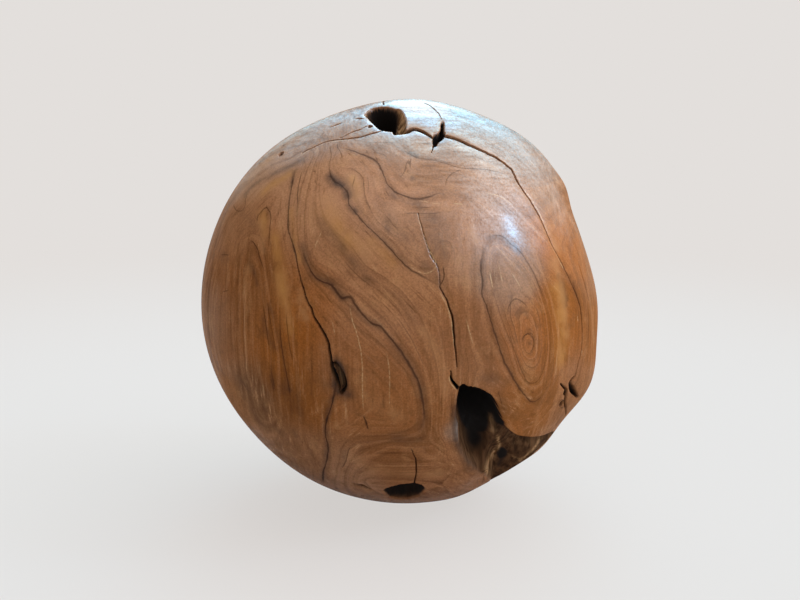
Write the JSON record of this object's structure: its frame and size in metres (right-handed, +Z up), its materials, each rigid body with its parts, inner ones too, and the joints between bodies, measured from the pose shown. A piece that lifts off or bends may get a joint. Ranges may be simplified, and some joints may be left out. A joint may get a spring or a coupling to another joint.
{
  "type": "wooden ball",
  "caption": "Floor ball carved from one block of old root wood, with a deep side hollow, holes at crown and base, and drying cracks across a waxed face.",
  "frame": {"origin": "the point under the ball's middle where it touches the ground", "axes": "+Z up through the ball's middle, -Y towards the face with the side hollow, +X to that face's right"},
  "size_m": [0.3973, 0.398, 0.4036],
  "materials": {
    "wood": "satin"
  },
  "bodies": {
    "root": {"ball": "wood"}
  },
  "joints": []
}
